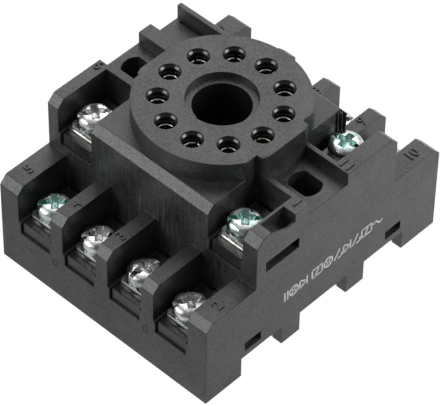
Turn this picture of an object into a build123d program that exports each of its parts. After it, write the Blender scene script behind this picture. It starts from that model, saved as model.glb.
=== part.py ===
from build123d import *
from math import cos, sin, radians, sqrt
import os

# Plug-in socket for an eleven-pin relay, for a mounting rail or a panel. Millimetres.
# Origin: the middle of the underside. +X is the printed side, -Y the front row of terminals, +Z the pin disc.

os.makedirs("parts", exist_ok=True)

# Outside of the housing
width = 45.0
length = 53.5
lower_top = 17.7
upper_top = 28.0
disc_top = 31.8
upper_half_length = 15.9
edge_chamfer = 1.4

# Feet and the gap for the rail
foot_height = 4.0
end_foot_length = 8.0
leg_width = 4.2
leg_offset = 7.5
rail_lip = 1.0
hook_reach = 2.0

# Pin disc
disc_radius = 14.3
disc_flat = 13.75
pin_count = 11
pin_circle_radius = 10.0
first_pin_angle = 90.0
pin_mouth_radius = 1.85
pin_mouth_depth = 0.35
pin_cone_depth = 0.3
pin_bore_radius = 1.55
pin_bore_depth = 0.7
key_bore_radius = 4.75
key_mouth_radius = 5.85
key_mouth_depth = 1.4
keyway_width = 1.8
keyway_reach = 5.5

# Terminal bays
lower_bays = 4
bay_width = 7.3
lower_outer_wall = 4.0
upper_bay_depth = 10.7
left_wall = 2.3
right_wall = 3.0
bay_rib = 0.85
lower_ledge = 10.5
upper_ledge = 21.5
window_height = 2.4
window_inset = 0.4
lug_setback = 0.4

# Middle recesses, label place and panel holes
recess_floor = 25.7
label_floor = 25.2
label_rib = 2.75
label_place_end = -3.0
groove_inset = 1.0
groove_width = 0.5
groove_depth = 0.8
back_wall = 1.2
back_setback = 1.5
corner_ribs = 3
corner_rib_reach = 0.35
corner_rib_width = 0.3
corner_rib_pitch = 0.5
back_edge_chamfer = 0.4
panel_hole_radius = 2.7
panel_hole_flat = 2.03
panel_hole_edge = 4.5
panel_hole_shift = -0.35
panel_screw_hole_radius = 2.15
panel_tube_wall = 1.5

# Pocket for a relay retaining clip
clip_shaft_skin = 0.4
clip_shaft_depth = 8.0
clip_shaft_width = 2.1
clip_shaft_near = -7.5
clip_shaft_far = -12.65
clip_sill_drop = 1.6
clip_sill_knee = -9.3
clip_sill_far = -13.4
clip_slot_near = -6.4
clip_slot_length = 7.4
clip_slot_height = 2.1

# Walls and fits
side_wall = 2.0
end_wall = 1.8
inner_wall = 1.5
disc_plate = 3.5
inner_roof = 17.2
slab_top = 8.1
fit_gap = 0.2
slide_gap = 0.15
rest_gap = 0.02

# Snap windows in the side walls
snap_length = 3.6
snap_height = 1.8
snap_offset = 16.3
snap_bottom = 5.3
snap_lug_recess = 1.2

# Contacts
plate_thickness = 0.6
plate_width = 5.6
lower_plate_setback = 2.1
upper_plate_setback = 1.5
strip_width = 2.0
collar_height = 1.2
collar_wall = 0.8
sleeve_length = 7.2
sleeve_wall = 0.3
sleeve_slit = 0.5
riser_thickness = 0.6
upper_strip_offset = 3.2
strip_turn_inset = 1.4

# Screws and washers
screw_setback = 4.5
shank_radius = 1.5
running_gap = 0.05
washer_gap = 0.15
head_radius = 3.0
head_height = 2.1
head_rim = 0.8
recess_width = 0.85
recess_length = 3.6
recess_depth = 1.3
shank_below_plate = 4.4
tip_chamfer = 0.35
clamp_size = 5.7
clamp_thickness = 0.8
clamp_corner = 0.5
spring_washer_radius = 2.7
spring_washer_thickness = 0.6
spring_washer_split = 0.4
spring_washer_turn = 40.0

# Rail latch and its spring
latch_width = 9.6
latch_flange = 1.4
latch_flange_thickness = 1.2
latch_bottom = 0.4
latch_thickness = 2.2
latch_reach = 3.0
latch_travel = 1.6
latch_window_width = 3.8
latch_slot_width = 0.7
latch_slot_skin = 0.8
post_length = 1.2
spring_pressed = 2.4
spring_radius = 1.0
spring_wire = 0.36
spring_turns = 5

# Worked out from the sizes above
half_width = width / 2
half_length = length / 2
bay_pitch = (width - 2 * lower_outer_wall - bay_width) / (lower_bays - 1)
panel_hole_spacing = width - 2 * panel_hole_edge
foot_inner = half_length - end_foot_length
leg_outer = leg_offset + leg_width / 2
leg_inner = leg_offset - leg_width / 2
left_bay_x = -half_width + left_wall + bay_width / 2
right_bay_x = half_width - right_wall - bay_width / 2
pedestal_left = left_bay_x + bay_width / 2
pedestal_right = right_bay_x - bay_width / 2
bay_back = upper_half_length - upper_bay_depth
recess_half = bay_back - bay_rib
back_face = upper_half_length - back_setback
riser_inner = upper_half_length - inner_wall
window_width = bay_width - 2 * window_inset
pillar_width = window_width - 2 * fit_gap
lower_sill = lower_ledge - window_height
upper_sill = upper_ledge - window_height
clamp_seat = plate_thickness + rest_gap
sleeve_seat_top = disc_top - pin_mouth_depth - pin_cone_depth - pin_bore_depth
sleeve_top = sleeve_seat_top - fit_gap
sleeve_bottom = sleeve_top - sleeve_length
riser_top = sleeve_bottom + strip_width
spring_length = spring_pressed + latch_travel
base_reach = half_length - end_wall - fit_gap
latch_stop = base_reach + rest_gap
cut_past = 5.0


def block(x0, x1, y0, y1, z0, z1):
    """Rectangular block between two corners."""
    middle = Pos((x0 + x1) / 2, (y0 + y1) / 2, (z0 + z1) / 2)
    return middle * Box(abs(x1 - x0), abs(y1 - y0), abs(z1 - z0))


def post(radius, x, y, z0, z1):
    """Upright round post or hole from z0 to z1."""
    return Pos(x, y, (z0 + z1) / 2) * Cylinder(radius, z1 - z0)


def side_extrusion(points, half):
    """Solid with the side outline given as (y, z) corners, reaching the same way to each side."""
    outline = Plane.YZ * make_face(Polyline(*points, close=True))
    return extrude(outline, amount=half, both=True)


def foot_steps():
    """Underside in side view: the end feet and two legs, with the gaps for the rail between them."""
    edges = [(-foot_inner, 0), (-leg_outer, 1), (-leg_inner, 0),
             (leg_inner, 1), (leg_outer, 0), (foot_inner, 1)]
    corners = []
    for y, falls in edges:
        first = foot_height if falls else 0
        corners += [(y, first), (y, foot_height - first)]
    return corners


def terminals():
    """Each terminal: number, x, y of its screw, the way it faces, and the height of its ledge."""
    rows = []
    for facing in (-1, 1):
        for bay in range(lower_bays):
            x = (bay - (lower_bays - 1) / 2) * bay_pitch
            rows.append((x, facing * (half_length - screw_setback), facing, lower_ledge))
    screw_y = upper_half_length - screw_setback
    rows.append((left_bay_x, -screw_y, -1, upper_ledge))
    rows.append((right_bay_x, -screw_y, -1, upper_ledge))
    rows.append((right_bay_x, screw_y, 1, upper_ledge))
    rows.sort(key=lambda row: (row[2], row[2] * row[0], row[3]))
    return [(number + 1,) + row for number, row in enumerate(rows)]


def bay_front(facing, ledge):
    """Y of the open face of a bay."""
    return facing * (half_length if ledge == lower_ledge else upper_half_length)


def bay_rear(facing, ledge):
    """Y of the closed end of a bay."""
    return facing * (upper_half_length if ledge == lower_ledge else bay_back)


def bay_cut(x, facing, ledge):
    """Space of one terminal bay: open at the top and the front, with a narrower window under its ledge."""
    front = bay_front(facing, ledge) + facing * cut_past
    rear = bay_rear(facing, ledge)
    space = block(x - bay_width / 2, x + bay_width / 2, front, rear, ledge, disc_top + cut_past)
    sill = ledge - window_height
    window = block(x - window_width / 2, x + window_width / 2, front, rear + facing * fit_gap, sill, ledge)
    shaft_front = bay_front(facing, ledge) - facing * inner_wall
    lowest = slab_top if ledge == lower_ledge else inner_roof
    shaft = block(x - window_width / 2, x + window_width / 2, shaft_front, rear + facing * fit_gap,
                  lowest - fit_gap, sill)
    return space + window + shaft


def panel_hole(x, z0, z1):
    """Round hole with two flats along X for a panel screw."""
    outline = Circle(panel_hole_radius) & Rectangle(4 * panel_hole_radius, 2 * panel_hole_flat)
    return extrude(Pos(x, 0, z0) * outline, amount=z1 - z0)


def panel_hole_places():
    """X of the two panel holes."""
    return [panel_hole_shift + side * panel_hole_spacing / 2 for side in (-1, 1)]


def pin_angle(pin):
    """Angle of a pin hole, with the first one opposite the front row."""
    return first_pin_angle + pin * 360 / pin_count


def on_circle(radius, angle):
    """Point on a circle round the disc's axis."""
    return radius * cos(radians(angle)), radius * sin(radians(angle))


def disc_column(z0, z1):
    """The round column of the pin disc, with a flat towards each side."""
    outline = Circle(disc_radius) & Rectangle(2 * disc_flat, 4 * disc_radius)
    return extrude(Pos(0, 0, z0) * outline, amount=z1 - z0)


def housing_shell():
    """Outside of the housing: two tiers with bevelled ends, and the pin disc on top."""
    z1, z2, c = lower_top, upper_top, edge_chamfer
    top_line = [(half_length, 0), (half_length, z1 - c), (half_length - c, z1), (upper_half_length, z1),
                (upper_half_length, z2 - c), (upper_half_length - c, z2)]
    mirrored = [(-y, z) for y, z in reversed(top_line)]
    shell = side_extrusion(foot_steps() + top_line + mirrored, half_width)
    return shell + disc_column(recess_floor, disc_top)


def middle_recess(side):
    """Sunk floor beside the disc, where a panel screw's head sits."""
    return block(0, side * (half_width + cut_past), -recess_half, recess_half, recess_floor,
                 disc_top) - disc_column(recess_floor, disc_top)


def label_place():
    """Lower flat in the corner that has no terminal, with a groove at the foot of the back wall."""
    rib_back = recess_half + label_rib
    wall_front = back_face - back_wall
    flat = block(-half_width - cut_past, label_place_end, rib_back, wall_front, label_floor, disc_top)
    groove = block(-half_width + groove_inset, label_place_end, wall_front - groove_width, wall_front,
                   label_floor - groove_depth, disc_top)
    return (flat + groove) - disc_column(label_floor - 2 * groove_depth, disc_top)


def back_step():
    """The back of the middle part stands further in than the two outer walls."""
    step = block(-half_width - cut_past, pedestal_right, back_face, upper_half_length + cut_past,
                 lower_top, disc_top)
    c = back_edge_chamfer
    edge = Plane.YZ * make_face(Polyline((back_face, upper_top - c), (back_face - c, upper_top),
                                         (back_face, upper_top), close=True))
    return step + extrude(Pos(pedestal_right, 0, 0) * edge, amount=-2 * width)


def corner_rib_blocks():
    """Upright ribs in the back corner of the right bay, the outer ones reaching further in."""
    ribs = []
    for rib in range(corner_ribs):
        reach = corner_rib_reach * (corner_ribs - rib)
        outer = back_face - rib * corner_rib_pitch
        ribs.append(block(pedestal_right - window_inset, pedestal_right + reach,
                          outer - corner_rib_width, outer,
                          upper_ledge + plate_thickness + fit_gap, upper_top - back_edge_chamfer))
    return ribs


def clip_pocket():
    """Shaft in the right wall for the foot of a retaining clip, with a sloping sill and a slot below."""
    inner = half_width - clip_shaft_skin - clip_shaft_width
    outer = half_width - clip_shaft_skin
    bottom = upper_top - clip_shaft_depth
    sill_low = upper_top - clip_sill_drop
    shaft = block(inner, outer, clip_shaft_far, clip_shaft_near, bottom, disc_top)
    sill = make_face(Polyline((clip_sill_far, upper_top), (clip_sill_knee, sill_low),
                              (clip_shaft_near, sill_low), (clip_shaft_near, disc_top),
                              (clip_sill_far, disc_top), close=True))
    opening = extrude(Plane.YZ.offset(outer) * sill, amount=clip_shaft_skin + cut_past)
    slot = block(inner, half_width + cut_past, clip_slot_near - clip_slot_length, clip_slot_near,
                 bottom, bottom + clip_slot_height)
    return shaft + opening + slot


def snap_windows(gap):
    """Four windows of the side walls, grown by a gap all round."""
    windows = []
    for side in (-1, 1):
        for end in (-1, 1):
            y = end * snap_offset
            x0 = side * (half_width - side_wall - 2 * fit_gap)
            reach = snap_length / 2 + gap
            windows.append(block(x0, side * (half_width + cut_past), y - reach, y + reach,
                                 snap_bottom - gap, snap_bottom + snap_height + gap))
    return windows


def inner_space():
    """Hollow of the housing: the base's place, the room under the upper tier, and the pedestal's inside."""
    x, y = half_width - side_wall, half_length - end_wall
    space = block(-x, x, -y, y, -cut_past, slab_top)
    space += block(-x, x, -riser_inner, riser_inner, 0, inner_roof)
    left, right, back = pedestal_left + inner_wall, pedestal_right - inner_wall, back_face - inner_wall
    space += block(left, right, -riser_inner, back, 0, label_floor - inner_wall)
    space += block(label_place_end + inner_wall, right, -riser_inner, back, 0, upper_top - inner_wall)
    space += block(left, right, -riser_inner, recess_half, 0, upper_top - inner_wall)
    hollow_floor = upper_ledge + plate_thickness + fit_gap
    space += post(disc_flat - inner_wall, 0, 0, hollow_floor, disc_top - disc_plate)
    for hole_x in panel_hole_places():
        space -= post(panel_hole_radius + panel_tube_wall, hole_x, 0, slab_top + fit_gap, recess_floor)
    space -= post(key_bore_radius + inner_wall, 0, 0, slab_top + fit_gap, disc_top)
    return space


def pin_holes():
    """Holes of the disc: a coned mouth, a guide bore and the seat of the contact sleeve below."""
    holes = []
    for pin in range(pin_count):
        x, y = on_circle(pin_circle_radius, pin_angle(pin))
        mouth_bottom = disc_top - pin_mouth_depth
        hole = post(pin_mouth_radius, x, y, mouth_bottom, disc_top + cut_past)
        cone = Cone(pin_bore_radius, pin_mouth_radius, pin_cone_depth)
        hole += Pos(x, y, mouth_bottom - pin_cone_depth / 2) * cone
        hole += post(pin_bore_radius, x, y, sleeve_seat_top, disc_top)
        hole += post(pin_bore_radius + fit_gap, x, y, sleeve_bottom - fit_gap, sleeve_seat_top)
        holes.append(hole)
    return holes


def key_bore():
    """Middle bore for the relay's key post, with a stepped mouth and a keyway."""
    bore = post(key_bore_radius, 0, 0, slab_top, disc_top)
    bore += post(key_mouth_radius, 0, 0, disc_top - key_mouth_depth, disc_top + cut_past)
    bore += block(-keyway_width / 2, keyway_width / 2, -keyway_reach, 0, slab_top + inner_wall, disc_top)
    return bore


def contact_rooms():
    """Room for each contact's strip and riser, with the fit gap round them."""
    rooms = []
    pin_of = pins_by_terminal()
    for number, x, y, facing, ledge in terminals():
        route = strip_route(pin_of[number], x, y, facing, ledge)
        outline = Pos(0, 0, ledge - fit_gap) * trace(Polyline(*route), strip_width + 2 * fit_gap)
        rooms.append(extrude(outline, amount=plate_thickness + 2 * fit_gap))
        rooms.append(riser(pin_of[number], route[-1], ledge, fit_gap))
    return rooms


def latch_mouth(gap):
    """Passage of the rail latch through the end foot: a narrow body with a flange to each side."""
    inner, outer = foot_inner - cut_past, half_length + cut_past
    body = latch_width / 2 + gap
    flange = body + latch_flange
    top = latch_bottom + latch_thickness + gap
    passage = block(-body, body, inner, outer, -cut_past, top)
    passage += block(-flange, flange, inner, outer, top - latch_flange_thickness - 2 * gap, top)
    return passage


def housing():
    """Upper moulding, with the bays, the disc and the walls down to the feet."""
    part = housing_shell()
    part -= back_step()
    for number, x, y, facing, ledge in terminals():
        part -= bay_cut(x, facing, ledge)
    for rib in corner_rib_blocks():
        part += rib
    part -= middle_recess(-1)
    part -= middle_recess(1)
    part -= label_place()
    part -= clip_pocket()
    part -= inner_space()
    for cut in pin_holes() + contact_rooms() + snap_windows(0):
        part -= cut
    part -= key_bore()
    for hole_x in panel_hole_places():
        part -= panel_hole(hole_x, -cut_past, disc_top)
    part -= latch_mouth(slide_gap) & block(-width, width, foot_inner, length, -cut_past, foot_height)
    return part


def screw_hole(x, y, ledge):
    """Blind hole that the end of a terminal screw runs into."""
    return post(shank_radius + 2 * fit_gap, x, y, ledge - shank_below_plate - 2 * fit_gap, ledge)


def pillar(x, y, facing, ledge):
    """Part of the base that carries one terminal, with a lug over the sill of the bay's window."""
    half = pillar_width / 2
    front = bay_front(facing, ledge) - facing * lug_setback
    inside = bay_front(facing, ledge) - facing * (inner_wall + 3 * fit_gap)
    rear = bay_rear(facing, ledge) + facing * 2 * fit_gap
    sill = ledge - window_height
    lug = block(x - half, x + half, front, rear, sill + fit_gap, ledge)
    if ledge == lower_ledge:
        body = lug + block(x - half, x + half, inside, rear, slab_top - inner_wall, ledge)
    else:
        column_front = facing * (abs(y) - head_radius / 2)
        body = lug + block(x - half, x + half, column_front, rear, slab_top - inner_wall, ledge)
        brace = make_face(Polyline((column_front, sill - inner_wall), (column_front, sill + fit_gap),
                                   (inside, sill + fit_gap), close=True))
        body += extrude(Plane.YZ.offset(x - half) * brace, amount=pillar_width)
    body -= screw_hole(x, y, ledge)
    body -= post(shank_radius + collar_wall + 1.5 * fit_gap, x, y, ledge - collar_height - fit_gap, ledge)
    return body


def base():
    """Lower moulding: a slab with feet, the terminal pillars, snap lugs and the fixed rail hook."""
    half = half_width - side_wall - fit_gap
    top = slab_top - fit_gap
    points = [(-base_reach, 0)] + foot_steps() + [(base_reach, 0), (base_reach, top), (-base_reach, top)]
    part = side_extrusion(points, half)
    for number, x, y, facing, ledge in terminals():
        part += pillar(x, y, facing, ledge)
        if ledge == lower_ledge:
            part -= screw_hole(x, y, ledge)
    reach = half_width - snap_lug_recess
    inside_walls = block(-reach, reach, -length, length, 0, upper_top)
    for lug in snap_windows(-fit_gap):
        part += lug & inside_walls
    for hole_x in panel_hole_places():
        part -= post(panel_screw_hole_radius, hole_x, 0, -cut_past, upper_top)
    hook_top = foot_height - rail_lip - fit_gap
    hook = make_face(Polyline((-foot_inner - inner_wall, 0), (-foot_inner + hook_reach / 2, 0),
                              (-foot_inner + hook_reach, hook_top / 2),
                              (-foot_inner + hook_reach, hook_top),
                              (-foot_inner - inner_wall, hook_top), close=True))
    part += extrude(Plane.YZ * hook, amount=latch_width, both=True)
    end_foot = block(-width, width, foot_inner - fit_gap, length, -cut_past, foot_height)
    part -= latch_mouth(slide_gap) & end_foot
    post_half = latch_window_width / 2 - fit_gap
    part += block(-post_half, post_half, base_reach - post_length, base_reach,
                  latch_bottom + fit_gap, foot_height)
    return part


def rail_latch():
    """Sliding hook for the rail, with a window for its spring and a screwdriver slot at the outer end."""
    outer = half_length - fit_gap / 2
    top = latch_bottom + latch_thickness
    nose = foot_inner - latch_reach
    outline = make_face(Polyline((nose, top), (nose, top / 2), (nose + latch_reach / 2, latch_bottom),
                                 (outer, latch_bottom), (outer, top), close=True))
    part = extrude(Plane.YZ * outline, amount=latch_width / 2, both=True)
    flange = latch_width / 2 + latch_flange
    part += block(-flange, flange, foot_inner + fit_gap, outer - end_wall - fit_gap,
                  top - latch_flange_thickness, top)
    part -= block(-latch_window_width / 2, latch_window_width / 2, base_reach - post_length - spring_length,
                  latch_stop, 0, foot_height)
    slot_y = (latch_stop + outer) / 2
    part -= block(-latch_width / 4, latch_width / 4,
                  slot_y - latch_slot_width / 2, slot_y + latch_slot_width / 2, 0, top - latch_slot_skin)
    return part


def latch_spring():
    """Small coil spring that pushes the latch towards the rail."""
    start = base_reach - post_length - spring_length + spring_wire / 2 + rest_gap
    span = spring_length - spring_wire - 2 * rest_gap
    middle_z = latch_bottom + latch_thickness / 2 + fit_gap / 2
    path = Helix(pitch=span / spring_turns, height=span, radius=spring_radius)
    section = Plane(path @ 0, z_dir=path % 0) * Circle(spring_wire / 2)
    coil = sweep(section, path=path, is_frenet=True)
    return Pos(0, start, middle_z) * Rot(-90, 0, 0) * coil


def strip_route(pin, x, y, facing, ledge):
    """Middle line of a contact strip from its plate to the foot of its riser."""
    foot = on_circle(pin_circle_radius - pin_bore_radius + sleeve_wall, pin_angle(pin))
    if ledge == lower_ledge:
        start = (x, facing * (upper_half_length + inner_wall))
        return [start, (x, facing * (riser_inner - strip_width / 2)), foot]
    side = 1 if x > 0 else -1
    strip_y = facing * (abs(y) - upper_strip_offset)
    wall = pedestal_right if x > 0 else pedestal_left
    return [(x, strip_y), (wall - side * (inner_wall + strip_turn_inset), strip_y), foot]


def riser(pin, foot, ledge, gap):
    """Upright part of a contact strip, from its ledge to its sleeve, grown by a gap all round."""
    strip = Box(riser_thickness + 2 * gap, strip_width + 2 * gap, riser_top - ledge + 2 * gap)
    return Pos(foot[0], foot[1], (riser_top + ledge) / 2) * Rot(0, 0, pin_angle(pin)) * strip


def contact(pin, x, y, facing, ledge):
    """Terminal plate with a collar, its strip and riser, and the sleeve that grips one relay pin."""
    top = ledge + plate_thickness
    setback = lower_plate_setback if ledge == lower_ledge else upper_plate_setback
    front = bay_front(facing, ledge) - facing * setback
    rear = bay_rear(facing, ledge) + facing * 2 * fit_gap
    part = block(x - plate_width / 2, x + plate_width / 2, front, rear, ledge, top)
    part += post(shank_radius + running_gap + collar_wall, x, y, ledge - collar_height, ledge)
    route = strip_route(pin, x, y, facing, ledge)
    part += extrude(Pos(0, 0, ledge) * trace(Polyline(*route), strip_width), amount=plate_thickness)
    part += riser(pin, route[-1], ledge, 0)
    sleeve_outer = pin_bore_radius + fit_gap / 2
    pin_x, pin_y = on_circle(pin_circle_radius, pin_angle(pin))
    sleeve = post(sleeve_outer, pin_x, pin_y, sleeve_bottom, sleeve_top)
    slit = Pos(pin_x, pin_y, (sleeve_bottom + sleeve_top) / 2) * Rot(0, 0, pin_angle(pin))
    slit *= Pos(sleeve_outer, 0, 0) * Box(2 * sleeve_outer, sleeve_slit, sleeve_length)
    part += sleeve
    part -= post(sleeve_outer - sleeve_wall, pin_x, pin_y, sleeve_bottom, sleeve_top)
    part -= slit
    part -= post(shank_radius + running_gap, x, y, ledge - collar_height, top)
    return part


def clamp_washer(x, y, ledge):
    """Square washer that clamps the wire, with its corners cut off."""
    outline = chamfer(Rectangle(clamp_size, clamp_size).vertices(), clamp_corner)
    outline -= Circle(shank_radius + washer_gap)
    return extrude(Pos(x, y, ledge + clamp_seat) * outline, amount=clamp_thickness)


def spring_washer(x, y, ledge):
    """Split ring under the screw's head."""
    outline = Circle(spring_washer_radius) - Circle(shank_radius + washer_gap)
    split = Pos(spring_washer_radius, 0) * Rectangle(2 * spring_washer_radius, spring_washer_split)
    outline -= Rot(0, 0, spring_washer_turn) * split
    seat = ledge + clamp_seat + clamp_thickness
    return extrude(Pos(x, y, seat) * outline, amount=spring_washer_thickness)


def screw(x, y, ledge):
    """Pan head screw with a cross recess."""
    seat = ledge + clamp_seat + clamp_thickness + spring_washer_thickness
    bottom = ledge - shank_below_plate - seat
    crown = Bezier((head_radius, head_rim), (head_radius, head_height), (head_radius / 2, head_height),
                   (0, head_height))
    edges = Polyline((0, head_height), (0, bottom), (shank_radius - tip_chamfer, bottom),
                     (shank_radius, bottom + tip_chamfer), (shank_radius, 0), (head_radius, 0),
                     (head_radius, head_rim))
    part = revolve(Plane.XZ * make_face(crown + edges), Axis.Z)
    for turn in (0, 90):
        blade = Plane.XZ * make_face(Polyline((-recess_length / 2, head_height + recess_width),
                                              (-recess_length / 2, head_height - recess_depth / 2),
                                              (-recess_width / 2, head_height - recess_depth),
                                              (recess_width / 2, head_height - recess_depth),
                                              (recess_length / 2, head_height - recess_depth / 2),
                                              (recess_length / 2, head_height + recess_width), close=True))
        part -= Rot(0, 0, turn) * extrude(blade, amount=recess_width / 2, both=True)
    return Pos(x, y, seat) * part


def pins_by_terminal():
    """Pin index for each terminal, so that no two strips cross."""
    order = sorted(terminals(), key=lambda row: strip_bearing(row))
    return {row[0]: pin for pin, row in enumerate(order)}


def strip_bearing(row):
    """Direction of a terminal from the disc's axis, counted from the first pin."""
    number, x, y, facing, ledge = row
    angle = degrees_of(x, y)
    half_step = 180 / pin_count
    return (angle - first_pin_angle + 1.5 * half_step) % 360


def degrees_of(x, y):
    """Angle of a point round the disc's axis."""
    return Vector(1, 0, 0).get_signed_angle(Vector(x, y, 0), Vector(0, 0, 1)) % 360


def save(part, name):
    """Write one piece as a STEP file."""
    export_step(part, "parts/" + name + ".step")


save(housing(), "housing")
save(base(), "base")
save(rail_latch(), "rail_latch")
save(latch_spring(), "latch_spring")
pins = pins_by_terminal()
for number, x, y, facing, ledge in terminals():
    save(contact(pins[number], x, y, facing, ledge), f"contact_{number}")
    save(clamp_washer(x, y, ledge), f"clamp_washer_{number}")
    save(spring_washer(x, y, ledge), f"spring_washer_{number}")
    save(screw(x, y, ledge), f"screw_{number}")
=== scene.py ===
# %% [markdown]
# # A screw terminal socket for a plug-in relay
# The real object is a dark grey moulded block with a round pin disc on top and eleven screw terminals on
# two levels. Its solids come ready made, in metres, as a fixed frame. This lesson dresses them: it rounds
# their edges, cuts real screws and washers, and gives each surface a finish built from nodes.
# The frame is loaded first, because every later step asks it where things are.

# %% Load the frame and measure it
import math
import random

import bmesh
import bpy
from mathutils import Matrix, Vector


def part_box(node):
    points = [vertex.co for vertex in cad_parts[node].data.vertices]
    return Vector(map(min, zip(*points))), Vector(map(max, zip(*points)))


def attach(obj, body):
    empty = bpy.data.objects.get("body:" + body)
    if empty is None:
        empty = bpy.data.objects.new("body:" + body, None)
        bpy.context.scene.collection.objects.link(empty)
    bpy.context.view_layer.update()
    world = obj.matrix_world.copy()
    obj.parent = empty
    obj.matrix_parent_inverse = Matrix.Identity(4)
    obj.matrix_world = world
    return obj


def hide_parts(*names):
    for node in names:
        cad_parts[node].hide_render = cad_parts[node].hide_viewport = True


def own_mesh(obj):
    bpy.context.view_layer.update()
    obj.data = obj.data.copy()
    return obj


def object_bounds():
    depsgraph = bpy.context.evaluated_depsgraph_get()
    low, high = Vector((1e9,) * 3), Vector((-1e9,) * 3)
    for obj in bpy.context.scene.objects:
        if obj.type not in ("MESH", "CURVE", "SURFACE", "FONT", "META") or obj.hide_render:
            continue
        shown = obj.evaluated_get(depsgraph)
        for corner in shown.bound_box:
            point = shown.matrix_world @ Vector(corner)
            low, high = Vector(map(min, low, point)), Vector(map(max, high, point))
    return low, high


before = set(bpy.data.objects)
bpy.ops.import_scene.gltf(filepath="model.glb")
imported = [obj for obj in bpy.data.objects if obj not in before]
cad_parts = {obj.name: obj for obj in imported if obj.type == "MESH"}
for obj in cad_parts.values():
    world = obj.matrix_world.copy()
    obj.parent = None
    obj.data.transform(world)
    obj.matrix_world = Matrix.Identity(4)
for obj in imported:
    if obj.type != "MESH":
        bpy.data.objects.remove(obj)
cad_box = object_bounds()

mm = 0.001
print("CAD box, mm:", [[round(v / mm, 2) for v in corner] for corner in cad_box])

# %% [markdown]
# ## The camera
# The socket was photographed from its front right corner, from well above, with a long lens, so parallel
# edges stay almost parallel. Such a view could be set by eye, but then it would be off by a little. Here
# the view is given by measured angles, and one matrix places the camera.

# %% Place the camera
PHOTO_WIDTH = 440
view_azimuth = math.radians(42.88)
view_elevation = math.radians(46.68)
view_roll = math.radians(1.02)
view_distance = 506.0 * mm
view_shift = (0.04 * mm, 5.66 * mm)
focal_pixels = 3127.8


def camera_axes(azimuth, elevation, roll):
    """Right, up and backward directions of a camera that looks at the middle of the socket."""
    back = Vector((math.sin(azimuth) * math.cos(elevation), -math.cos(azimuth) * math.cos(elevation),
                   math.sin(elevation)))
    level = Vector((math.cos(azimuth), math.sin(azimuth), 0))
    rise = back.cross(level)
    right = math.cos(roll) * level + math.sin(roll) * rise
    up = -math.sin(roll) * level + math.cos(roll) * rise
    return right, up, back


right, up, back = camera_axes(view_azimuth, view_elevation, view_roll)
lens = bpy.data.cameras.new("camera")
lens.sensor_width = 36.0
lens.lens = focal_pixels * lens.sensor_width / PHOTO_WIDTH
lens.clip_start = 0.01
lens.clip_end = 20
camera = bpy.data.objects.new("camera", lens)
bpy.context.scene.collection.objects.link(camera)
place = right * view_shift[0] + up * view_shift[1] + back * view_distance
camera.matrix_world = Matrix.Translation(place) @ Matrix((right, up, back)).transposed().to_4x4()
bpy.context.scene.camera = camera
print("camera at, mm:", [round(v / mm, 1) for v in place], "lens", round(lens.lens, 1))

# %% [markdown]
# ## Two small tools for materials
# A material is a small network of nodes. Writing each node by hand takes five lines, so one function adds
# any node with its settings and its links. Colours are picked as sRGB hex values, the way a screen shows
# them, while shaders work in linear light, so a second function turns one into the other.

# %% Node and colour helpers


def linear(hex_colour):
    """An sRGB hex colour as linear red, green, blue and alpha."""
    parts = [int(hex_colour[i:i + 2], 16) / 255 for i in (1, 3, 5)]
    return [c / 12.92 if c <= 0.04045 else ((c + 0.055) / 1.055) ** 2.4 for c in parts] + [1.0]


def add(tree, kind, settings=None, links=None):
    """Adds a node, sets its properties or inputs, and links other nodes' outputs to its inputs."""
    node = tree.nodes.new(kind)
    for key, value in (settings or {}).items():
        if isinstance(key, str) and hasattr(node, key):
            setattr(node, key, value)
        else:
            node.inputs[key].default_value = value
    for key, source in (links or {}).items():
        tree.links.new(source, node.inputs[key])
    return node


def new_material(name):
    """An empty material and its node tree."""
    material = bpy.data.materials.new(name)
    material.use_nodes = True
    material.node_tree.nodes.clear()
    return material, material.node_tree


print("mid grey in linear light:", [round(c, 3) for c in linear("#808080")])

# %% [markdown]
# ## Moulded plastic
# The housing is thermoplastic polyester (PBT) with glass fibre, injection moulded in dark grey. The mould
# was spark eroded, which leaves a fine grain of about a quarter of a millimetre, so the surface looks
# satin, never glossy. An image of grain would slide or stretch; noise worked out from the position
# doesn't. Three noises do it: fine grain, soft cloudiness from the flow of the melt, and upright drag marks
# from leaving the mould. The grain also drives a bump, and its pits mirror less than its crests. The drag
# marks are strong only on the wall behind the front screws. The pins that shape the holes are polished, so
# the holes come out glossier. Their walls are also painted darker, as painted shade inside the holes.

# %% Moulded plastic
GRAIN_MM = 0.28
GRAIN_RANGE = (0.32, 0.68)
CLOUD_MM = 5.0
CLOUD_RANGE = (0.3, 0.7)
CLOUD_SHARE = 0.2
CLOUD_ROUGHNESS = 0.06
DRAG_MARK_MM = 0.3
DRAG_MARK_STRETCH = 0.04
DRAG_MARK_RANGE = (0.54, 0.72)
DRAG_MARK_COLOUR = "#8c8d8e"
DRAGGED_WALL_Y = -15.9 * mm
DRAGGED_WALL_REACH = 0.4 * mm
DRAG_ELSEWHERE = 0.12


def ranged(tree, source, low, high, to_low=0.0, to_high=1.0):
    """A value moved from one range to another, and kept inside it."""
    limits = {"From Min": low, "From Max": high, "To Min": to_low, "To Max": to_high}
    return add(tree, "ShaderNodeMapRange", limits, {"Value": source}).outputs["Result"]


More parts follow.
